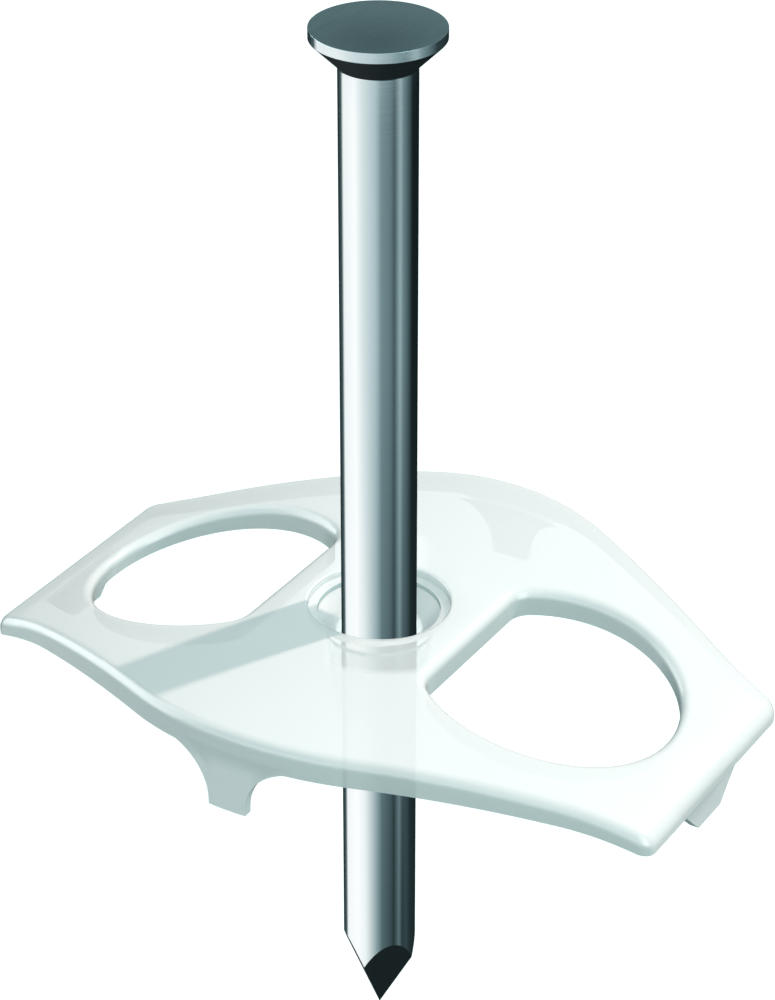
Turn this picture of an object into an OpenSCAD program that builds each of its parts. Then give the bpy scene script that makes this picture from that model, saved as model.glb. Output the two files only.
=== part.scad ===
// Nail-in cable clip: an arched plastic plate that one steel nail holds to a wall, over flat cables.
// Lengths are in millimetres. The nail runs along Z with its head up, and the plate is longest along X.
// The origin is on the nail's axis, in the plane of the wall on which the end feet stand.

/* [Nail] */
// Diameter of the shank
shank_d = 2; // [1.6:0.1:2.4]
// Length from the top of the head to the tip
nail_len = 29.7; // [25:0.1:40]
// Diameter of the head
head_d = 3.42; // [3.2:0.02:4]
// Height of the straight rim of the head
head_rim = 0.27; // [0.2:0.01:0.5]
// Full angle of the cone under the head
head_angle = 90; // [80:1:110]
// Full angle between opposite facets of the point
point_angle = 40.6; // [30:0.2:50]
// Turn of the point's facets about the nail
point_turn = -39; // [-45:1:45]
// Height of the top of the head above the plate, before the nail is driven
stand_off = 16.2; // [4:0.1:20]

/* [Plate outline] */
// Length of the plate
plate_len = 20.1; // [19.5:0.1:24]
// Diameter of the round middle of the plate
disc_d = 14.8; // [14:0.1:17]
// Angle of the straight sides to the length of the plate
taper = 26; // [20:1:28]
// Radius of the hollow flare between each side and the end of the plate
flare_r = 8; // [6:0.5:12]
// Length of the flare along the plate
flare_len = 2.2; // [1.6:0.1:3]
// Radius of the end corners
corner_r = 0.45; // [0.3:0.05:1]

/* [Plate arch] */
// Height of the crown above the wall
crown_h = 3.36; // [3.1:0.02:4.5]
// Drop of the top from the crown to the ends
arch_drop = 1.92; // [1.4:0.02:2.1]
// Thickness at the crown
plate_t = 0.78; // [0.7:0.02:1]
// Thickness at the ends
end_t = 0.48; // [0.3:0.02:0.7]

/* [Openings] */
// Radius of the round side of an opening
opening_r = 3.4; // [3:0.05:3.5]
// Distance from the nail to the centre of the round side
opening_at = 5.2; // [5:0.05:5.5]
// Distance from the nail to the straight side
opening_flat = 2.82; // [2.5:0.02:3.4]
// Radius of the corners of the straight side
opening_corner = 0.8; // [0.4:0.05:1]

/* [Feet] */
// Thickness of the feet
foot_t = 0.26; // [0.2:0.02:0.5]
// Width of a side foot
side_foot_w = 1.1; // [0.8:0.05:2]
// Gap between the side feet and the wall
side_foot_gap = 1.02; // [0.4:0.02:1.4]
// Radius of the hollows on both flanks of a side foot
side_foot_r = 1.4; // [0.6:0.05:1.8]
// Width of an end foot at the wall
end_foot_w = 1.22; // [0.8:0.02:2]
// Width of an end foot where it leaves the plate
end_foot_root_w = 3.16; // [2.4:0.02:4]
// Distance from the end edge back to an end foot
end_foot_inset = 0.12; // [0.06:0.02:0.3]

/* [Hub] */
// Gap around the head in its recess
head_gap = 0.19; // [0.1:0.01:0.3]
// Depth of the recess for the head
recess_depth = 0.28; // [0.2:0.02:0.36]
// Reach of the ledge under the rim of the head
ledge_reach = 0.07; // [0.04:0.01:0.15]
// Height of the straight wall under the ledge
ledge_wall = 0.14; // [0.1:0.01:0.25]
// Gap around the shank in the sleeve
shank_gap = 0.03; // [0.01:0.01:0.1]
// Wall of the sleeve around the funnel, where it leaves the plate
sleeve_wall = 0.18; // [0.12:0.01:0.4]
// Wall of the sleeve at its lower end
sleeve_tip_wall = 0.15; // [0.1:0.01:0.3]
// Gap between the sleeve and the wall
sleeve_gap = 0.1; // [0.05:0.05:1]

/* [Hidden] */
$fn = 180;
// Facets that show the wide arcs of the arch smoothly
arch_fn = 720;
// Straight steps in the outline's arcs: half the disc's arc, a flare and a corner
disc_steps = 10;
flare_steps = 6;
corner_steps = 8;
// Overlap where one shape is joined to another or cuts through it
lap = 0.2;
steel = [0.72, 0.74, 0.76];
clear_white = [0.93, 0.95, 0.95];

shank_r = shank_d / 2;
head_r = head_d / 2;
head_top = crown_h + stand_off;
rim_low = head_top - head_rim;
cone_low = rim_low - (head_r - shank_r) / tan(head_angle / 2);
tip = head_top - nail_len;
// The facets are carried up past the shank's surface
point_up = 2 * shank_d;

half_len = plate_len / 2;
disc_r = disc_d / 2;
// Where the straight side leaves the disc, and where the flare begins and turns into the corner
side_start = [disc_r * sin(taper), disc_r * cos(taper)];
flare_start = [half_len - flare_len, (disc_r - (half_len - flare_len) * sin(taper)) / cos(taper)];
flare_mid = flare_start + flare_r * [sin(taper), cos(taper)];
corner_x = half_len - corner_r;
corner_reach = flare_r + corner_r;
corner_mid = [corner_x, flare_mid[1] - sqrt(corner_reach ^ 2 - (corner_x - flare_mid[0]) ^ 2)];
corner_start = flare_mid + (corner_mid - flare_mid) * flare_r / corner_reach;
corner_end = [half_len, corner_mid[1]];

// Radius of an arc that falls by drop over half the plate's length
function arc_radius(drop) = (half_len ^ 2 + drop ^ 2) / (2 * drop);
top_r = arc_radius(arch_drop);
under_crown = crown_h - plate_t;
under_r = arc_radius(arch_drop + end_t - plate_t);
under_end = crown_h - arch_drop - end_t;

// Corner of an opening: a circle inside the round side that touches the straight side
notch_x = opening_flat + opening_corner;
notch_mid = [notch_x, sqrt((opening_r - opening_corner) ^ 2 - (notch_x - opening_at) ^ 2)];
opening_mid = [opening_at, 0];
notch_touch = opening_mid + (notch_mid - opening_mid) * opening_r / (opening_r - opening_corner);

side_foot_h = under_crown - side_foot_gap;
side_foot_hollow = min(side_foot_r, side_foot_h);

recess_r = head_r + head_gap;
recess_floor = crown_h - recess_depth;
ledge_r = head_r - ledge_reach;
bore_r = shank_r + shank_gap;
funnel_top = recess_floor - ledge_wall;
funnel_low = funnel_top - (ledge_r - bore_r) / tan(head_angle / 2);
// Radius of the funnel or bore where the sleeve leaves the plate
funnel_root_r = max(bore_r, ledge_r - (funnel_top - under_crown) * tan(head_angle / 2));
sleeve_root_r = funnel_root_r + sleeve_wall;
sleeve_tip_r = bore_r + sleeve_tip_wall;
sleeve_top = under_crown + lap;
sleeve_slope = (sleeve_root_r - sleeve_tip_r) / (under_crown - sleeve_gap);
sleeve_top_r = sleeve_root_r + lap * sleeve_slope;

// Points of an arc about mid, from point a to point b
function heading(v) = atan2(v[1], v[0]);
function arc(mid, a, b, steps) =
    let (start = heading(a - mid), turn = (heading(b - mid) - start) / steps)
    [for (i = [0 : steps]) mid + norm(a - mid) * [cos(start + turn * i), sin(start + turn * i)]];
function reversed(list) = [for (i = [len(list) - 1 : -1 : 0]) list[i]];
function flipped(list) = [for (p = list) [p[0], -p[1]]];

// The plate's outline: a quarter of it from the disc to the end edge, then its reflections
outline_quarter = concat(
    arc([0, 0], [0, disc_r], side_start, disc_steps),
    arc(flare_mid, flare_start, corner_start, flare_steps),
    arc(corner_mid, corner_start, corner_end, corner_steps)
);
outline_half = concat(outline_quarter, reversed(flipped(outline_quarter)));
outline = concat(outline_half, [for (p = outline_half) -p]);

// Upright block of a plan shape, past the plate by lap above and below
module upright() {
    translate([0, 0, -lap])
        linear_extrude(height = crown_h + 2 * lap) children();
}

// Cutter for one opening: straight chords first, then the corners and the round side
module opening() {
    edge = [[opening_flat, notch_mid[1]], notch_touch, opening_mid];
    upright() polygon(concat(edge, reversed(flipped(edge))));
    for (side = [-1, 1]) upright() translate([notch_mid[0], side * notch_mid[1]]) circle(r = opening_corner);
    upright()
        intersection() {
            translate(opening_mid) circle(r = opening_r);
            translate([notch_touch[0], -opening_r]) square([2 * opening_r, 2 * opening_r]);
        }
}

// A roller across the plate whose top lies at height z
module roller(r, z) {
    translate([0, 0, z - r])
        rotate([90, 0, 0])
            cylinder(r = r, h = disc_d + 2 * lap, center = true, $fn = arch_fn);
}

// The plate between its arched top and its flatter arched underside
module arched_plate() {
    difference() {
        intersection() {
            upright() polygon(outline);
            roller(top_r, crown_h);
        }
        roller(under_r, under_crown);
        opening();
        mirror([1, 0, 0]) opening();
    }
}

// Feet in the middle of both long sides, flush with the plate's edge
module side_feet() {
    root = side_foot_w / 2 + side_foot_hollow;
    hollow_z = under_crown - side_foot_hollow;
    difference() {
        intersection() {
            upright() polygon(outline);
            rotate([90, 0, 0])
                linear_extrude(height = disc_d + 2 * lap, center = true) {
                    translate([-side_foot_w / 2, side_foot_gap]) square([side_foot_w, side_foot_h + lap]);
                    difference() {
                        translate([-root, hollow_z]) square([2 * root, side_foot_hollow + lap]);
                        for (x = [-root, root]) translate([x, hollow_z]) circle(r = side_foot_hollow);
                    }
                }
        }
        upright() circle(r = disc_r - foot_t);
    }
}

// Foot just inside the middle of one end edge, wider where it leaves the plate
module end_foot() {
    foot = end_foot_w / 2;
    spread = (end_foot_root_w - end_foot_w) / 2 / under_end;
    // The slanted flanks run on into the plate
    top = under_end + end_t / 2;
    root = foot + spread * top;
    translate([half_len - end_foot_inset, 0, 0])
        rotate([90, 0, -90])
            linear_extrude(height = foot_t)
                polygon([
                    [-foot, 0],
                    [foot, 0],
                    [root, top],
                    [-root, top]
                ]);
}

// Tapered sleeve under the crown, solid until the hub is cut
module sleeve() {
    rotate_extrude()
        polygon([
            [0, sleeve_gap],
            [sleeve_tip_r, sleeve_gap],
            [sleeve_top_r, sleeve_top],
            [0, sleeve_top]
        ]);
}

// Space for the nail: recess, ledge, funnel and bore
module hub_cut() {
    rotate_extrude()
        polygon([
            [0, sleeve_gap - lap],
            [bore_r, sleeve_gap - lap],
            [bore_r, funnel_low],
            [ledge_r, funnel_top],
            [ledge_r, recess_floor],
            [recess_r, recess_floor],
            [recess_r, crown_h + lap],
            [0, crown_h + lap]
        ]);
}

// Two flat facets of the point, carried up over the whole nail
module facet_pair(turn) {
    reach = point_up * tan(point_angle / 2);
    rotate([0, 0, turn])
        rotate([90, 0, 0])
            linear_extrude(height = 2 * (head_d + reach), center = true)
                polygon([
                    [0, tip],
                    [reach, tip + point_up],
                    [head_d + reach, tip + point_up],
                    [head_d + reach, head_top + lap],
                    [-head_d - reach, head_top + lap],
                    [-head_d - reach, tip + point_up],
                    [-reach, tip + point_up]
                ]);
}

module clip_plate() {
    color(clear_white)
        difference() {
            union() {
                arched_plate();
                side_feet();
                end_foot();
                mirror([1, 0, 0]) end_foot();
                sleeve();
            }
            hub_cut();
        }
}

module nail() {
    color(steel)
        intersection() {
            rotate_extrude()
                polygon([
                    [0, tip],
                    [shank_r, tip],
                    [shank_r, cone_low],
                    [head_r, rim_low],
                    [head_r, head_top],
                    [0, head_top]
                ]);
            facet_pair(point_turn);
            facet_pair(point_turn + 90);
        }
}

clip_plate();
nail();
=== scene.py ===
import math
import bpy
import bmesh
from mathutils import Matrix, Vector
from mathutils.geometry import delaunay_2d_cdt


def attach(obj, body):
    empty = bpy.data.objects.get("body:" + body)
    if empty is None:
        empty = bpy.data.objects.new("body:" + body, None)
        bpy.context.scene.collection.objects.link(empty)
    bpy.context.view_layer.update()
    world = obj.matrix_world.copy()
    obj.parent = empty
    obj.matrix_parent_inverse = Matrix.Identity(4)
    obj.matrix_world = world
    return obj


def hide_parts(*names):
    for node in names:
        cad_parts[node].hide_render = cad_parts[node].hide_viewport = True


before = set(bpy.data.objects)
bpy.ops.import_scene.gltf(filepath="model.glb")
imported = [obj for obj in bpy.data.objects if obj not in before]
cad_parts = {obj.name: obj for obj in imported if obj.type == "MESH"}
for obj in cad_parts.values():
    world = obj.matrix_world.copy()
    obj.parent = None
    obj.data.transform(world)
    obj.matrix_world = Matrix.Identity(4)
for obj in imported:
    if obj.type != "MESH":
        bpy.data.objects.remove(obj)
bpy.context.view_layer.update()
scene = bpy.context.scene
mm = 0.001
print("frame loaded:", ", ".join(sorted(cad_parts)))


# points become shared corners, so that patches join without seams
def newSkin():
    return {"bm": bmesh.new(), "corners": {}, "finish": 0}


def cornerAt(skin, point):
    key = tuple(round(c, 5) for c in point)
    if key not in skin["corners"]:
        skin["corners"][key] = skin["bm"].verts.new([c * mm for c in point])
    return skin["corners"][key]


def patch(skin, points):
    corners = []
    for point in points:
        corner = cornerAt(skin, point)
        if corner not in corners:
            corners.append(corner)
    if len(corners) > 2:
        skin["bm"].faces.new(corners).material_index = skin["finish"]


def band(skin, ringA, ringB):
    count = len(ringA)
    for i in range(count):
        j = (i + 1) % count
        patch(skin, [ringA[i], ringA[j], ringB[j], ringB[i]])


def circle(radius, height, count, start=0.0):
    turns = [start + 2 * math.pi * i / count for i in range(count)]
    return [(radius * math.cos(a), radius * math.sin(a), height) for a in turns]


def isInside(point, loop):
    odd = False
    for a, b in zip(loop, loop[1:] + loop[:1]):
        if (a[1] > point[1]) != (b[1] > point[1]):
            if point[0] < a[0] + (point[1] - a[1]) * (b[0] - a[0]) / (b[1] - a[1]):
                odd = not odd
    return odd


# a sheet of triangles between closed loops, with loose points inside so that it follows the arch
def fillBetween(skin, loops, heightAt, step):
    plan, edges = [], []
    for loop in loops:
        first = len(plan)
        plan += [(p[0], p[1]) for p in loop]
        edges += [(first + i, first + (i + 1) % len(loop)) for i in range(len(loop))]
    rimPoints = [Vector(p) for p in plan]
    reachX = max(abs(p[0]) for p in plan)
    reachY = max(abs(p[1]) for p in plan)
    clearance = (0.6 * step) ** 2  # loose points keep off the loops
    for i in range(-int(reachX / step), int(reachX / step) + 1):
        for j in range(-int(reachY / step), int(reachY / step) + 1):
            loose = Vector((i * step, j * step))
            if min((loose - p).length_squared for p in rimPoints) > clearance:
                plan.append(tuple(loose))
    spots, _, faces, source, _, _ = delaunay_2d_cdt([Vector(p) for p in plan], edges, [], 1, 1e-6)
    placed = [plan[source[i][0]] if source[i] else tuple(spots[i]) for i in range(len(spots))]
    for face in faces:
        corners = [placed[i] for i in face]
        middle = [sum(c[k] for c in corners) / len(corners) for k in (0, 1)]
        if not any(isInside(middle, hole) for hole in loops[1:]):
            patch(skin, [(x, y, heightAt(x)) for x, y in corners])


def finishSkin(skin, name, sharpAngle):
    bm = skin["bm"]
    bmesh.ops.recalc_face_normals(bm, faces=bm.faces)
    loose = sum(1 for e in bm.edges if len(e.link_faces) != 2)
    mesh = bpy.data.meshes.new(name)
    bm.to_mesh(mesh)
    bm.free()
    for face in mesh.polygons:
        face.use_smooth = True
    mesh.set_sharp_from_angle(angle=math.radians(sharpAngle))
    piece = bpy.data.objects.new(name, mesh)
    scene.collection.objects.link(piece)
    even = piece.modifiers.new("evenShade", "WEIGHTED_NORMAL")
    even.keep_sharp = True
    print(name, "made:", len(mesh.polygons), "faces,", loose, "open edges")
    return piece


# the moulded plate, in millimetres
clipPlate = {
    "length": 20.1, "discDia": 14.8, "taper": 26.0,
    "flareRadius": 8.0, "flareLength": 2.2, "cornerRadius": 0.45,
    "crown": 3.36, "archDrop": 1.92, "thick": 0.78, "endThick": 0.48,
    "rimRound": 0.3, "rimSteps": 9, "sheetStep": 0.55, "sharpAngle": 32.0,
    "edgeSteps": (8, 12, 10, 10, 8),  # disc, side, flare, corner and end
    "openingSteps": (40, 12, 6),  # arc, corner and flat
    "openingRadius": 3.4, "openingAt": 5.2, "openingFlat": 2.82, "openingCorner": 0.8,
    "footThick": 0.26, "sideFootWidth": 1.1, "sideFootGap": 1.02, "sideFootHollow": 1.4,
    "endFootWidth": 1.22, "endFootRoot": 3.16, "endFootInset": 0.12,
    "recessRadius": 1.9, "recessFloor": 3.08, "recessRound": 0.07, "recessSteps": 4,
    "ledgeRadius": 1.64, "funnelTop": 2.94, "funnelLow": 2.33, "boreRadius": 1.03,
    "sleeveRoot": 1.457, "sleeveTip": 1.18, "sleeveLow": 0.1, "hubSides": 96,
}


def archRadius(drop):
    half = clipPlate["length"] / 2
    return (half ** 2 + drop ** 2) / (2 * drop)


topRadius = archRadius(clipPlate["archDrop"])
underRadius = archRadius(clipPlate["archDrop"] + clipPlate["endThick"] - clipPlate["thick"])


def topAt(x):
    return clipPlate["crown"] - topRadius + math.sqrt(topRadius ** 2 - x ** 2)


def underAt(x):
    return clipPlate["crown"] - clipPlate["thick"] - underRadius + math.sqrt(underRadius ** 2 - x ** 2)


# one step along an edge: place, way into the plastic, and what hangs under it
def edgeStep(x, y, inX, inY, low=None, footLow=None, footTop=None):
    return {"at": (x, y), "into": (inX, inY), "low": underAt(x) if low is None else low,
            "footLow": footLow, "footTop": footTop}


# sign is 1 where the plastic lies outside the arc and -1 where it lies inside
def arcSteps(mid, start, end, count, sign):
    a = math.atan2(start[1] - mid[1], start[0] - mid[0])
    b = math.atan2(end[1] - mid[1], end[0] - mid[0])
    r = math.dist(mid, start)
    out = []
    for i in range(1, count + 1):
        t = a + (b - a) * i / count
        c, s = math.cos(t), math.sin(t)
        out.append(edgeStep(mid[0] + r * c, mid[1] + r * s, sign * c, sign * s))
    return out


def lineSteps(start, end, into, count):
    out = []
    for i in range(1, count + 1):
        t = i / count
        x, y = start[0] + (end[0] - start[0]) * t, start[1] + (end[1] - start[1]) * t
        out.append(edgeStep(x, y, *into))
    return out


# the side foot: a flat blade with hollow flanks, flush with the round edge
def sideFootSteps():
    p = clipPlate
    outer = p["discDia"] / 2
    inner = outer - p["footThick"]
    hollow = p["sideFootHollow"]
    rootX = p["sideFootWidth"] / 2 + hollow
    rootZ = p["crown"] - p["thick"] - hollow
    low, high = 0.0, math.pi / 2
    for _ in range(40):  # where the hollow runs out under the plate
        mid = (low + high) / 2
        if rootZ + hollow * math.sin(mid) < underAt(rootX - hollow * math.cos(mid)):
            low = mid
        else:
            high = mid
    rows = [(p["sideFootWidth"] / 2 * i / 3, p["sideFootGap"]) for i in range(4)]
    for i in range(13):
        a = low * i / 12
        rows.append((rootX - hollow * math.cos(a), rootZ + hollow * math.sin(a)))
    rows[-1] = (rows[-1][0], underAt(rows[-1][0]))
    out = []
    for x, z in rows:
        y, backY = math.sqrt(outer ** 2 - x ** 2), math.sqrt(inner ** 2 - x ** 2)
        out.append(edgeStep(x, y, -x / outer, -y / outer, z, (x, backY, z), (x, backY, underAt(x))))
    return out


# the end foot: a flat blade with slanted flanks, just inside the end edge; gives its outline under the plate
def makeEndFoot(skin, side):
    p = clipPlate
    frontX = p["length"] / 2 - p["endFootInset"]
    foot = p["endFootWidth"] / 2
    flank = (p["endFootRoot"] / 2 - foot) / underAt(p["length"] / 2)
    root, low = [], []
    for x, y in ((frontX, 1), (frontX, -1), (frontX - p["footThick"], -1), (frontX - p["footThick"], 1)):
        root.append((side * x, y * (foot + flank * underAt(x)), underAt(x)))
        low.append((side * x, y * foot, 0.0))
    band(skin, root, low)
    patch(skin, low)
    return root


def mirrored(steps, signX, signY):
    out = []
    for s in steps:
        turned = dict(s)
        turned["at"] = (s["at"][0] * signX, s["at"][1] * signY)
        turned["into"] = (s["into"][0] * signX, s["into"][1] * signY)
        for key in ("footLow", "footTop"):
            if s[key]:
                turned[key] = (s[key][0] * signX, s[key][1] * signY, s[key][2])
        out.append(turned)
    return out


def outerEdge():
    p = clipPlate
    half, disc, flare = p["length"] / 2, p["discDia"] / 2, p["flareRadius"]
    t = math.radians(p["taper"])
    sideStart = (disc * math.sin(t), disc * math.cos(t))
    flareX = half - p["flareLength"]
    flareStart = (flareX, (disc - flareX * math.sin(t)) / math.cos(t))
    flareMid = (flareX + flare * math.sin(t), flareStart[1] + flare * math.cos(t))
    cornerX = half - p["cornerRadius"]
    reach = flare + p["cornerRadius"]
    cornerMid = (cornerX, flareMid[1] - math.sqrt(reach ** 2 - (cornerX - flareMid[0]) ** 2))
    cornerStart = tuple(f + (c - f) * flare / reach for f, c in zip(flareMid, cornerMid))
    cornerEnd = (half, cornerMid[1])
    discCount, sideCount, flareCount, cornerCount, endCount = p["edgeSteps"]
    quarter = sideFootSteps()
    quarter += arcSteps((0, 0), quarter[-1]["at"], sideStart, discCount, -1)
    quarter += lineSteps(sideStart, flareStart, (-math.sin(t), -math.cos(t)), sideCount)
    quarter += arcSteps(flareMid, flareStart, cornerStart, flareCount, 1)
    quarter += arcSteps(cornerMid, cornerStart, cornerEnd, cornerCount, -1)
    quarter += lineSteps(cornerEnd, (half, 0.0), (-1, 0), endCount)
    loop = quarter + mirrored(quarter, 1, -1)[::-1][1:]
    return loop + mirrored(loop, -1, -1)[1:-1]


def openingEdge(side):
    p = clipPlate
    mid, r, c = (p["openingAt"], 0.0), p["openingRadius"], p["openingCorner"]
    notchX = p["openingFlat"] + c
    notchY = math.sqrt((r - c) ** 2 - (notchX - mid[0]) ** 2)
    touch = (mid[0] + (notchX - mid[0]) * r / (r - c), notchY * r / (r - c))
    arcCount, cornerCount, flatCount = p["openingSteps"]
    upper = [edgeStep(mid[0] + r, 0.0, 1, 0)]
    upper += arcSteps(mid, (mid[0] + r, 0.0), touch, arcCount, 1)
    upper += arcSteps((notchX, notchY), touch, (p["openingFlat"], notchY), cornerCount, 1)
    upper += lineSteps((p["openingFlat"], notchY), (p["openingFlat"], 0.0), (-1, 0), flatCount)
    return mirrored(upper + mirrored(upper, 1, -1)[::-1][1:-1], side, 1)


# a ring of the rounded rim: part 0 is on the upright wall and part 1 on the top
def rimRing(steps, part, rounding):
    a = math.pi / 2 * part
    inset, drop = rounding * (1 - math.cos(a)), rounding * (1 - math.sin(a))
    out = []
    for s in steps:
        x, y = s["at"][0] + s["into"][0] * inset, s["at"][1] + s["into"][1] * inset
        out.append((x, y, topAt(x) - drop))
    return out


def lowRing(steps):
    return [(s["at"][0], s["at"][1], s["low"]) for s in steps]


def roundedWall(skin, steps, rounding, count):
    rings = [rimRing(steps, i / count, rounding) for i in range(count + 1)]
    for a, b in zip(rings, rings[1:]):
        band(skin, a, b)
    return rings[0], rings[-1]


def makeClipPlate():
    p = clipPlate
    skin = newSkin()
    outer = outerEdge()
    wallTop, outerTop = roundedWall(skin, outer, p["rimRound"], p["rimSteps"])
    band(skin, wallTop, lowRing(outer))
    start = next(i for i, s in enumerate(outer) if not s["footLow"])
    turned = outer[start:] + outer[:start]
    underLoop = []
    for i, s in enumerate(turned):
        follow = turned[(i + 1) % len(turned)]
        place = (s["at"][0], s["at"][1], s["low"])
        if not s["footLow"]:
            underLoop.append(place)
            continue
        if not turned[i - 1]["footLow"]:
            underLoop.append(place)
        underLoop.append(s["footTop"])
        if not follow["footLow"]:
            underLoop.append(place)
            continue
        nextPlace = (follow["at"][0], follow["at"][1], follow["low"])
        patch(skin, [place, nextPlace, follow["footLow"], s["footLow"]])
        patch(skin, [s["footLow"], follow["footLow"], follow["footTop"], s["footTop"]])
    underLoop = [q for i, q in enumerate(underLoop) if math.dist(q, underLoop[i - 1]) > 1e-4]
    topLoops, underLoops = [outerTop], [underLoop]
    for side in (1, -1):
        underLoops.append(makeEndFoot(skin, side))
        edge = openingEdge(side)
        wallTop, rimTop = roundedWall(skin, edge, p["rimRound"], p["rimSteps"])
        band(skin, wallTop, lowRing(edge))
        topLoops.append(rimTop)
        underLoops.append(lowRing(edge))
    sides = p["hubSides"]
    mouth = [edgeStep(x, y, x / p["recessRadius"], y / p["recessRadius"])
             for x, y, _ in circle(p["recessRadius"], 0, sides)]
    lastRing, mouthTop = roundedWall(skin, mouth, p["recessRound"], p["recessSteps"])
    topLoops.append(mouthTop)
    inside = [("recessRadius", "recessFloor"), ("ledgeRadius", "recessFloor"), ("ledgeRadius", "funnelTop"),
              ("boreRadius", "funnelLow"), ("boreRadius", "sleeveLow"), ("sleeveTip", "sleeveLow")]
    skin["finish"] = 1
    for radius, height in inside:
        ring = circle(p[radius], p[height], sides)
        band(skin, lastRing, ring)
        lastRing = ring
    sleeveTop = [(x, y, underAt(x)) for x, y, _ in circle(p["sleeveRoot"], 0, sides)]
    band(skin, lastRing, sleeveTop)
    skin["finish"] = 0
    underLoops.append(sleeveTop)
    fillBetween(skin, topLoops, topAt, p["sheetStep"])
    fillBetween(skin, underLoops, underAt, p["sheetStep"])
    piece = finishSkin(skin, "clipPlateSkin", p["sharpAngle"])
    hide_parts("clip_plate")
    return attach(piece, "plate")


plateSkin = makeClipPlate()


# the nail, in millimetres
nail = {
    "shankDia": 2.0, "length": 29.7, "top": 19.56, "headDia": 3.42, "headRim": 0.27, "headAngle": 90.0,
    "pointAngle": 40.6, "pointTurn": -39.0, "neckRound": 0.04, "coneEdge": 0.02, "edgeRound": 0.006,
    "sides": 128, "sharpAngle": 20.0,
}


def makeNail():
    p = nail
    skin = newSkin()
    sides, r, headR, e = p["sides"], p["shankDia"] / 2, p["headDia"] / 2, p["edgeRound"]
    tip = p["top"] - p["length"]
    rimLow = p["top"] - p["headRim"]
    slope = math.tan(math.radians(p["headAngle"] / 2))
    neck = rimLow - (headR - r) / slope
    turn = math.radians(p["pointTurn"])
    start = turn + math.pi / 4
    steep = math.tan(math.radians(p["pointAngle"] / 2))
    quarter = sides // 4
    # each flat of the point climbs highest in the middle of its own quarter
    pointRing = []
    for i, (x, y, _) in enumerate(circle(r, 0, sides, start)):
        fromMiddle = math.pi / 2 * ((i % quarter) / quarter - 0.5)
        pointRing.append((x, y, tip + r * math.cos(fromMiddle) / steep))
    # the cone under the head and the point's pressed faces take the painted dark reflection
    bright, darkReflection, stamped = 0, 1, 2
    n, c = p["neckRound"], p["coneEdge"]
    profile = [(r, neck - 0.75 * n, bright), (r + 0.2 * n, neck, bright), (r + n, neck + n / slope, darkReflection),
               (headR - c, rimLow - c / slope, darkReflection), (headR, rimLow + e, bright), (headR, p["top"] - e, bright),
               (headR - 0.3 * e, p["top"] - 0.3 * e, stamped), (headR - e, p["top"], stamped),
               (headR - 3 * e, p["top"], stamped)]
    lastRing = pointRing
    for radius, height, finish in profile:
        skin["finish"] = finish
        ring = circle(radius, height, sides, start)
        band(skin, lastRing, ring)
        lastRing = ring
    patch(skin, lastRing)
    skin["finish"] = darkReflection
    for k in range(4):
        arc = [pointRing[(k * quarter + i) % sides] for i in range(quarter + 1)]
        patch(skin, [(0.0, 0.0, tip)] + arc)
    piece = finishSkin(skin, "nailSkin", p["sharpAngle"])
    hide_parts("nail")
    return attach(piece, "nail")


nailSkin = makeNail()


def nodeTree(name):
    mat = bpy.data.materials.new(name)
    mat.use_nodes = True
    tree = mat.node_tree
    return mat, tree, tree.nodes["Principled BSDF"]


# small helpers for shader nodes: a value is a number or another node's output
def feed(tree, value, socket):
    if isinstance(value, bpy.types.NodeSocket):
        tree.links.new(value, socket)
    else:
        socket.default_value = value


def reckon(tree, operation, a, b=0.0):
    step = tree.nodes.new("ShaderNodeMath")
    step.operation = operation
    feed(tree, a, step.inputs[0])
    feed(tree, b, step.inputs[1])
    return step.outputs[0]


def spread(tree, value, start, end, low, high):
    step = tree.nodes.new("ShaderNodeMapRange")
    for key, number in (("Value", value), ("From Min", start), ("From Max", end), ("To Min", low), ("To Max", high)):
        feed(tree, number, step.inputs[key])
    return step.outputs[0]


def grain(tree, scale, detail, stretch=(1.0, 1.0, 1.0)):
    place = tree.nodes.new("ShaderNodeTexCoord")
    pull = tree.nodes.new("ShaderNodeMapping")
    pull.inputs["Scale"].default_value = stretch
    noise = tree.nodes.new("ShaderNodeTexNoise")
    noise.inputs["Scale"].default_value = scale
    noise.inputs["Detail"].default_value = detail
    tree.links.new(place.outputs["Object"], pull.inputs["Vector"])
    tree.links.new(pull.outputs[0], noise.inputs["Vector"])
    return noise.outputs["Fac"]


def relief(tree, height, strength, depth, shader):
    bump = tree.nodes.new("ShaderNodeBump")
    bump.inputs["Strength"].default_value = strength
    bump.inputs["Distance"].default_value = depth
    tree.links.new(height, bump.inputs["Height"])
    tree.links.new(bump.outputs[0], shader.inputs["Normal"])


def blend(tree, share, colourA, colourB):
    step = tree.nodes.new("ShaderNodeMix")
    step.data_type = "RGBA"
    feed(tree, share, step.inputs[0])
    feed(tree, colourA, step.inputs[6])
    feed(tree, colourB, step.inputs[7])
    return step.outputs[2]


# distance from the nail's axis or from a line beside it, in millimetres
def fromAxis(tree, middle=(0.0, 0.0)):
    place = tree.nodes.new("ShaderNodeTexCoord")
    shift = tree.nodes.new("ShaderNodeVectorMath")
    shift.operation = "MULTIPLY_ADD"
    shift.inputs[1].default_value = (1000, 1000, 0)
    shift.inputs[2].default_value = (-middle[0], -middle[1], 0)
    length = tree.nodes.new("ShaderNodeVectorMath")
    length.operation = "LENGTH"
    tree.links.new(place.outputs["Object"], shift.inputs[0])
    tree.links.new(shift.outputs[0], length.inputs[0])
    return length.outputs["Value"]


# place along a direction, in millimetres
def along(tree, way):
    place = tree.nodes.new("ShaderNodeTexCoord")
    across = tree.nodes.new("ShaderNodeVectorMath")
    across.operation = "DOT_PRODUCT"
    across.inputs[1].default_value = [1000 * c for c in way]
    tree.links.new(place.outputs["Object"], across.inputs[0])
    return across.outputs["Value"]


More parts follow.
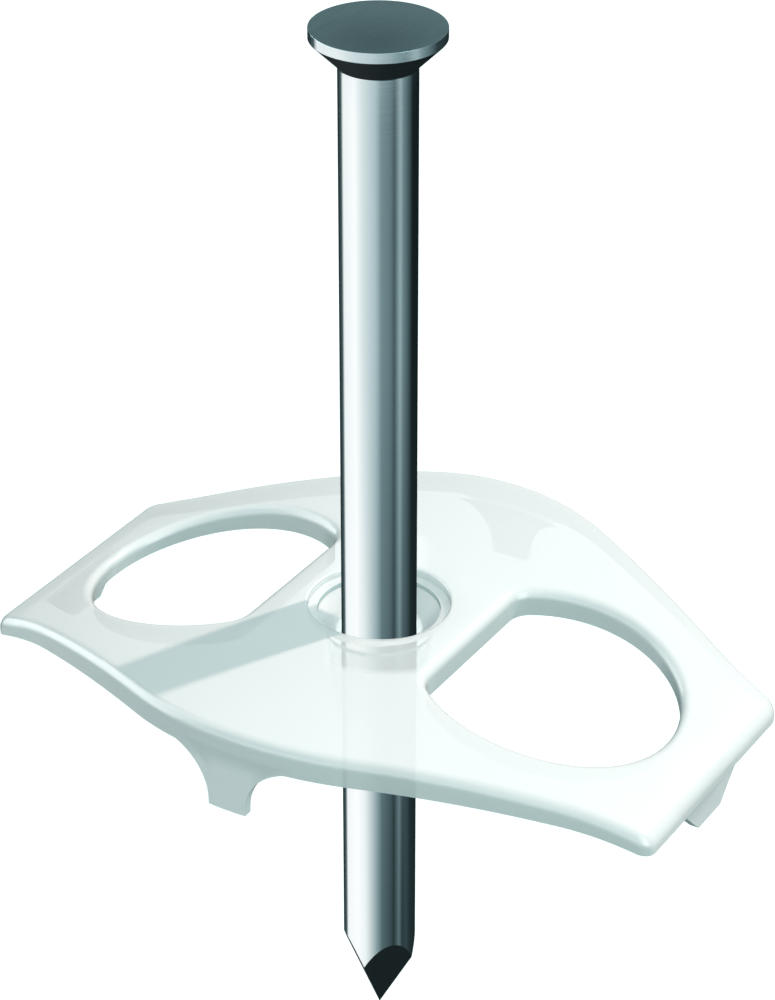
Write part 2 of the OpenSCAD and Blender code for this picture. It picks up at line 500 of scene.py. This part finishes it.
# how upright a face stands, and whether it is seen from inside
def stance(tree):
    sides = tree.nodes.new("ShaderNodeNewGeometry")
    split = tree.nodes.new("ShaderNodeSeparateXYZ")
    tree.links.new(sides.outputs["Normal"], split.inputs[0])
    upright = reckon(tree, "SUBTRACT", 1.0, reckon(tree, "ABSOLUTE", split.outputs["Z"]))
    return upright, sides.outputs["Backfacing"]


# a value that goes from one to another as share goes from 0 to 1
def between(tree, share, a, b):
    return reckon(tree, "ADD", a, reckon(tree, "MULTIPLY", reckon(tree, "SUBTRACT", b, a), share))


# natural white plastic: cloudy where light goes in and clear where it comes out
plasticLook = {
    "colour": (0.87, 0.892, 0.886, 1), "cloud": (0.88, 0.9, 0.894, 1), "roughness": (0.2, 0.24),
    "alphaBehind": 0.89, "alphaFront": 0.95,  # cloudier towards the front
    "towards": (0.519, -0.855, 0.0), "cloudyFrom": (-1.0, 3.0),
    "clearAlpha": 0.67, "clearTo": 3.3, "clearAcross": (0.855, 0.519, 0.0), "clearHalf": 1.15,  # clear strip at the hub
    "footAlpha": 0.86, "footFrom": (7.07, 7.12), "footTop": 2.55, "softEdge": 0.3,
    "openingShadeColour": (0.64, 0.71, 0.705, 1), "shadeTilt": (0.3, 0.95),  # painted shade on the openings' upright walls, deeper in colour
    "openingAt": 5.2, "openingReach": (3.42, 3.52),
}
# fine grain of the mould, as noise scales
mouldGrain = {"sheen": 900, "skin": 9000, "cloud": 260, "strength": 0.03, "depth": 0.000006}


def newPlastic(name, look):
    mat, tree, shader = nodeTree(name)
    sheen = grain(tree, mouldGrain["sheen"], 2)
    feed(tree, spread(tree, sheen, 0.3, 0.7, *plasticLook["roughness"]), shader.inputs["Roughness"])
    relief(tree, grain(tree, mouldGrain["skin"], 2), mouldGrain["strength"], mouldGrain["depth"], shader)
    return mat, tree, shader, blend(tree, grain(tree, mouldGrain["cloud"], 1), look["colour"], look["cloud"])


def makePlastic():
    look = plasticLook
    mat, tree, shader, colour = newPlastic("milkyPlastic", look)
    upright, inside = stance(tree)
    fromMiddle = reckon(tree, "SUBTRACT", reckon(tree, "ABSOLUTE", along(tree, (1, 0, 0))), look["openingAt"])
    sideways = along(tree, (0, 1, 0))
    reach = reckon(tree, "SQRT", reckon(tree, "ADD", reckon(tree, "MULTIPLY", fromMiddle, fromMiddle),
                                        reckon(tree, "MULTIPLY", sideways, sideways)))
    # painted shade: the openings' upright walls take a deeper colour
    paintedWallShade = reckon(tree, "MULTIPLY", spread(tree, upright, *look["shadeTilt"], 0.0, 1.0),
                  spread(tree, reach, *look["openingReach"], 1.0, 0.0))
    feed(tree, blend(tree, paintedWallShade, colour, look["openingShadeColour"]), shader.inputs["Base Color"])
    aside = reckon(tree, "ABSOLUTE", along(tree, look["clearAcross"]))
    soft = look["softEdge"]
    clear = reckon(tree, "MULTIPLY", spread(tree, fromAxis(tree), look["clearTo"], look["clearTo"] + soft, 1.0, 0.0),
                   spread(tree, aside, look["clearHalf"], look["clearHalf"] + soft, 1.0, 0.0))
    cloudy = spread(tree, along(tree, look["towards"]), *look["cloudyFrom"], look["alphaBehind"], look["alphaFront"])
    goesIn = between(tree, clear, cloudy, look["clearAlpha"])
    # the thin side feet let more light through
    outward = reckon(tree, "ABSOLUTE", sideways)
    foot = reckon(tree, "MULTIPLY", spread(tree, outward, *look["footFrom"], 0.0, 1.0),
                  spread(tree, along(tree, (0, 0, 1)), look["footTop"] - soft, look["footTop"], 1.0, 0.0))
    goesIn = between(tree, foot, goesIn, look["footAlpha"])
    comesOut = reckon(tree, "MULTIPLY", upright, reckon(tree, "SUBTRACT", 1.0, foot))  # walls still show from inside
    feed(tree, between(tree, inside, goesIn, comesOut), shader.inputs["Alpha"])
    return mat


# the hub's inside is dull, its upright walls carry painted shade, deepest inside the ledge, and the sleeve under it is
# nearly clear
hubLook = {
    "colour": (0.95, 0.965, 0.965, 1), "cloud": (0.96, 0.975, 0.975, 1), "gloss": 0.08,
    "recessShadeColour": (0.5, 0.61, 0.61, 1), "shadeTilt": (0.4, 0.95), "recessFrom": (1.7, 1.8), "recessShadeShare": 0.4,
    "soft": 0.8, "spread": 0.0007,  # light spreads under its surface
    "alpha": 0.95, "sleeveAlpha": 0.25, "sleeveTop": (2.4, 2.5), "backAlpha": 0.12,
}


def makeHubPlastic():
    look = hubLook
    mat, tree, shader, colour = newPlastic("hubPlastic", look)
    shader.inputs["Specular IOR Level"].default_value = look["gloss"]
    shader.inputs["Subsurface Weight"].default_value = look["soft"]
    shader.inputs["Subsurface Radius"].default_value = (1.0, 1.0, 1.0)
    shader.inputs["Subsurface Scale"].default_value = look["spread"]
    upright, inside = stance(tree)
    # painted shade: upright walls deeper in colour, fully inside the ledge and in part on the recess wall
    paintedWallShade = reckon(tree, "MULTIPLY", spread(tree, upright, *look["shadeTilt"], 0.0, 1.0),
                  spread(tree, fromAxis(tree), *look["recessFrom"], 1.0, look["recessShadeShare"]))
    feed(tree, blend(tree, paintedWallShade, colour, look["recessShadeColour"]), shader.inputs["Base Color"])
    goesIn = spread(tree, along(tree, (0, 0, 1)), *look["sleeveTop"], look["sleeveAlpha"], look["alpha"])
    comesOut = reckon(tree, "MULTIPLY", upright, look["backAlpha"])
    feed(tree, between(tree, inside, goesIn, comesOut), shader.inputs["Alpha"])
    return mat


for finish in (makePlastic(), makeHubPlastic()):
    plateSkin.data.materials.append(finish)
plateSkin.visible_glossy = False  # the wire's bands run on past the plate
nailSkin.visible_glossy = nailSkin.visible_diffuse = False  # and the plate shows no streak or glare of it

# drawn wire, its pressed faces and the cone under the head in a painted dark reflection, and the stamped top of the
# head with a painted reflection
steelLook = {
    "brightSteel": {"colour": (0.94, 0.965, 0.97, 1), "worn": (0.88, 0.92, 0.93, 1),
                    "roughness": (0.075, 0.125), "metallic": 1.0},
    # painted dark reflection: near black and not metallic, so these faces stay dark from every side
    "darkReflectionSteel": {"colour": (0.012, 0.018, 0.021, 1), "worn": (0.02, 0.027, 0.03, 1),
                  "roughness": (0.42, 0.55), "metallic": 0.0, "gloss": 0.12},
    # the stamped top's worn colour is also the paler part of its painted reflection
    "stampedSteel": {"colour": (0.136, 0.232, 0.256, 1), "worn": (0.262, 0.39, 0.425, 1),
                     "roughness": (0.22, 0.28), "metallic": 1.0, "shadeMiddle": (0.5, -0.85), "shadeReach": (0.2, 2.2)},
}
steelMarks = {"drawn": (2600, 2600, 90), "rings": (120, 120, 16000), "brushed": (14000, 700, 1),
              "strength": 0.04, "depth": 0.000006}


def makeSteel(name):
    look = steelLook[name]
    mat, tree, shader = nodeTree(name)
    shader.inputs["Metallic"].default_value = look["metallic"]
    if "gloss" in look:
        shader.inputs["Specular IOR Level"].default_value = look["gloss"]
    # painted reflection: the head's top darker round a spot on its front side and paler away from it, on top of the
    # brushed marks
    if "shadeMiddle" in look:
        marks = grain(tree, 1, 4, steelMarks["brushed"])
        away = fromAxis(tree, look["shadeMiddle"])
        share = reckon(tree, "ADD", spread(tree, away, *look["shadeReach"], -0.1, 0.8),
                       reckon(tree, "MULTIPLY", marks, 0.18))
    else:
        marks = grain(tree, 1, 4, steelMarks["rings"])
        share = grain(tree, 1, 3, steelMarks["drawn"])
    feed(tree, blend(tree, share, look["colour"], look["worn"]), shader.inputs["Base Color"])
    feed(tree, spread(tree, marks, 0.3, 0.7, *look["roughness"]), shader.inputs["Roughness"])
    relief(tree, marks, steelMarks["strength"], steelMarks["depth"], shader)
    return mat


for name in steelLook:
    nailSkin.data.materials.append(makeSteel(name))
print("materials set")

# camera at the photograph's place, in millimetres and degrees
view = {"eye": (38.851, -63.584, 49.591), "tilt": 59.897, "turn": 31.253,
        "lens": 119.02, "sensor": 36.0, "clip": (5.0, 10000.0)}


def makeCamera():
    data = bpy.data.cameras.new("viewCamera")
    data.sensor_fit = "VERTICAL"
    data.sensor_height = view["sensor"]
    data.lens = view["lens"]
    data.clip_start, data.clip_end = (c * mm for c in view["clip"])
    camera = bpy.data.objects.new("viewCamera", data)
    camera.location = [c * mm for c in view["eye"]]
    camera.rotation_euler = (math.radians(view["tilt"]), 0.0, math.radians(view["turn"]))
    scene.collection.objects.link(camera)
    scene.camera = camera


makeCamera()


def newPiece(name, corners, faces):
    mesh = bpy.data.meshes.new(name)
    mesh.from_pydata([tuple(c * mm for c in p) for p in corners], [], faces)
    piece = bpy.data.objects.new(name, mesh)
    scene.collection.objects.link(piece)
    mat = bpy.data.materials.new(name)
    mat.use_nodes = True
    tree = mat.node_tree
    tree.nodes.clear()
    mesh.materials.append(mat)
    return piece, tree, tree.nodes.new("ShaderNodeEmission"), tree.nodes.new("ShaderNodeOutputMaterial")


# 1 for rays that see the floor directly, in a mirror or through the plastic
def seenRays(tree):
    path = tree.nodes.new("ShaderNodeLightPath")
    seen = reckon(tree, "MAXIMUM", path.outputs["Is Camera Ray"], path.outputs["Is Glossy Ray"])
    return reckon(tree, "MAXIMUM", seen, path.outputs["Is Transmission Ray"])


# pale floor, low enough for the driven nail
floor = {"height": -26.4, "half": 900.0, "colour": (0.28, 0.39, 0.39, 1), "glow": 0.8}


def makeFloor():
    h, z = floor["half"], floor["height"]
    piece, tree, glow, out = newPiece("floor", [(-h, -h, z), (h, -h, z), (h, h, z), (-h, h, z)], [(0, 1, 2, 3)])
    diffuse = tree.nodes.new("ShaderNodeBsdfDiffuse")
    diffuse.inputs["Color"].default_value = floor["colour"]
    feed(tree, reckon(tree, "MULTIPLY", seenRays(tree), floor["glow"]), glow.inputs["Strength"])
    both = tree.nodes.new("ShaderNodeAddShader")
    tree.links.new(diffuse.outputs[0], both.inputs[0])
    tree.links.new(glow.outputs[0], both.inputs[1])
    tree.links.new(both.outputs[0], out.inputs["Surface"])


makeFloor()

# soft cool sky, brighter overhead and to the right, and one lamp from behind on the right
sky = {"colour": (0.81, 1.0, 0.997, 1), "lowest": 0.24, "rise": (0.45, 0.0, 0.76)}
lamp = {"turn": 61.4, "height": 42.0, "away": 400.0, "size": 16.0, "power": 0.94, "colour": (1.0, 0.785, 0.755)}


def wayTo(turn, height):
    a, e = math.radians(turn), math.radians(height)
    return Vector((math.cos(e) * math.cos(a), math.cos(e) * math.sin(a), math.sin(e)))


def makeSky():
    world = bpy.data.worlds.new("softSky")
    scene.world = world
    world.use_nodes = True
    tree = world.node_tree
    tree.nodes.clear()
    place = tree.nodes.new("ShaderNodeTexCoord")
    lean = tree.nodes.new("ShaderNodeVectorMath")
    lean.operation = "DOT_PRODUCT"
    lean.inputs[1].default_value = sky["rise"]
    tree.links.new(place.outputs["Generated"], lean.inputs[0])
    light = tree.nodes.new("ShaderNodeBackground")
    light.inputs["Color"].default_value = sky["colour"]
    glow = reckon(tree, "ADD", reckon(tree, "MAXIMUM", lean.outputs["Value"], 0.0), sky["lowest"])
    feed(tree, glow, light.inputs["Strength"])
    white = tree.nodes.new("ShaderNodeBackground")
    white.inputs["Color"].default_value = (1, 1, 1, 1)
    path = tree.nodes.new("ShaderNodeLightPath")
    mix = tree.nodes.new("ShaderNodeMixShader")
    tree.links.new(path.outputs["Is Camera Ray"], mix.inputs[0])
    tree.links.new(light.outputs[0], mix.inputs[1])
    tree.links.new(white.outputs[0], mix.inputs[2])
    out = tree.nodes.new("ShaderNodeOutputWorld")
    tree.links.new(mix.outputs[0], out.inputs["Surface"])


def makeLamp():
    data = bpy.data.lights.new("sideLamp", "AREA")
    data.shape = "DISK"
    data.size = lamp["size"] * mm
    data.energy = lamp["power"]
    data.color = lamp["colour"]
    way = wayTo(lamp["turn"], lamp["height"])
    piece = bpy.data.objects.new("sideLamp", data)
    piece.location = way * lamp["away"] * mm
    piece.rotation_euler = way.to_track_quat("Z", "Y").to_euler()
    scene.collection.objects.link(piece)


makeSky()
makeLamp()

# cards that only show as reflections: shades on the table round the nail, by the angle from the camera's side
# (far ones show in the upper wire and the head, near ones below the plate), and strips and a faint canopy for the rims
tableCard = {
    "radius": 570.0, "height": -26.3, "front": -58.75, "sides": 96,
    "wire": (27.1, 72.8), "head": (108.9, 109.2), "rims": (206.0, 251.0), "rimGlow": 6.5,
    "angles": (-180, -150, -129, -118, -70, -45, -8, 8, 34, 47, 56, 65, 76, 94, 112, 180),
    "farShades": (0.02, 0.03, 0.1, 0.95, 1.05, 0.8, 0.54, 0.27, 0.2, 0.09, 0.25, 0.43, 0.23, 0.11, 0.014, 0.01),
    "headShades": (0.02, 0.03, 0.1, 0.9, 0.88, 0.76, 0.64, 0.56, 0.36, 0.33, 0.42, 0.46, 0.3, 0.16, 0.05, 0.012),
    "rimShades": (0.01, 0.01, 0.06, 1.0, 0.16, 0.07, 0.04, 0.025, 0.2, 1.0, 1.0, 0.2, 0.02, 0.01, 0.004, 0.004),
    "nearShades": (0.02, 0.03, 0.12, 1.0, 1.05, 0.95, 0.36, 0.14, 0.08, 0.035, 0.1, 0.17, 0.045, 0.06, 0.03, 0.01),
}
rimCards = {
    "away": 300.0, "steps": (12, 8), "fade": (110.0, 240.0, 0.33),
    "leftStrip": {"turns": (-192.0, -145.0), "heights": (-1.5, 60.0), "glow": 6.5},
    "rightStrip": {"turns": (-26.0, 6.0), "heights": (-1.5, 60.0), "glow": 6.5},
    "frontCanopy": {"turns": (-145.0, -26.0), "heights": (4.0, 80.0), "glow": 3.4},
}


# cool greys, as in the dark parts of a clear day
def coolShade(s):
    return (s * (0.55 + 0.43 * s), s, s * (1.09 - 0.09 * s), 1)


def mirrorOnly(name, corners, faces):
    piece, tree, glow, out = newPiece(name, corners, faces)
    piece.visible_camera = piece.visible_diffuse = piece.visible_shadow = False
    piece.visible_transmission = piece.visible_volume_scatter = False
    tree.links.new(glow.outputs[0], out.inputs["Surface"])
    return tree, glow


def shadeRing(tree, turn, angles, shades):
    ramp = tree.nodes.new("ShaderNodeValToRGB")
    steps = ramp.color_ramp.elements
    while len(steps) < len(angles):
        steps.new(0.5)
    for step, angle, shade in zip(steps, angles, shades):
        step.position = angle / 360 + 0.5
        step.color = coolShade(shade)
    tree.links.new(turn, ramp.inputs["Fac"])
    return ramp.outputs["Color"]


def makeTableCard():
    look = tableCard
    disc = circle(look["radius"], look["height"], look["sides"])
    tree, glow = mirrorOnly("tableCard", disc, [tuple(range(look["sides"]))])
    place = tree.nodes.new("ShaderNodeTexCoord")
    spin = tree.nodes.new("ShaderNodeMapping")
    spin.inputs["Rotation"].default_value = (0, 0, math.radians(-look["front"]))
    around = tree.nodes.new("ShaderNodeTexGradient")
    around.gradient_type = "RADIAL"
    tree.links.new(place.outputs["Object"], spin.inputs["Vector"])
    tree.links.new(spin.outputs[0], around.inputs["Vector"])
    turn = around.outputs["Fac"]
    near = shadeRing(tree, turn, look["angles"], look["nearShades"])
    far = shadeRing(tree, turn, look["angles"], look["farShades"])
    head = shadeRing(tree, turn, look["angles"], look["headShades"])
    away = fromAxis(tree)
    wire = blend(tree, spread(tree, away, *look["wire"], 0.0, 1.0), near, far)
    upTo = blend(tree, spread(tree, away, *look["head"], 0.0, 1.0), wire, head)
    rims = spread(tree, away, *look["rims"], 0.0, 1.0)
    strips = shadeRing(tree, turn, look["angles"], look["rimShades"])
    feed(tree, blend(tree, rims, upTo, strips), glow.inputs["Color"])
    feed(tree, spread(tree, rims, 0.0, 1.0, 1.0, look["rimGlow"]), glow.inputs["Strength"])


def makeRimCard(name):
    look = rimCards[name]
    (turnA, turnB), (lowest, highest), (m, n) = look["turns"], look["heights"], rimCards["steps"]
    corners = [wayTo(turnA + (turnB - turnA) * i / m, lowest + (highest - lowest) * j / n) * rimCards["away"]
               for i in range(m + 1) for j in range(n + 1)]
    faces = [(i * (n + 1) + j, (i + 1) * (n + 1) + j, (i + 1) * (n + 1) + j + 1, i * (n + 1) + j + 1)
             for i in range(m) for j in range(n)]
    tree, glow = mirrorOnly(name, corners, faces)
    start, end, least = rimCards["fade"]
    height = along(tree, (0, 0, 1))
    feed(tree, spread(tree, height, start, end, look["glow"], look["glow"] * least), glow.inputs["Strength"])


makeTableCard()
for name in ("leftStrip", "rightStrip", "frontCanopy"):
    makeRimCard(name)
scene.view_settings.view_transform = "Standard"
print("camera, floor and lights set")
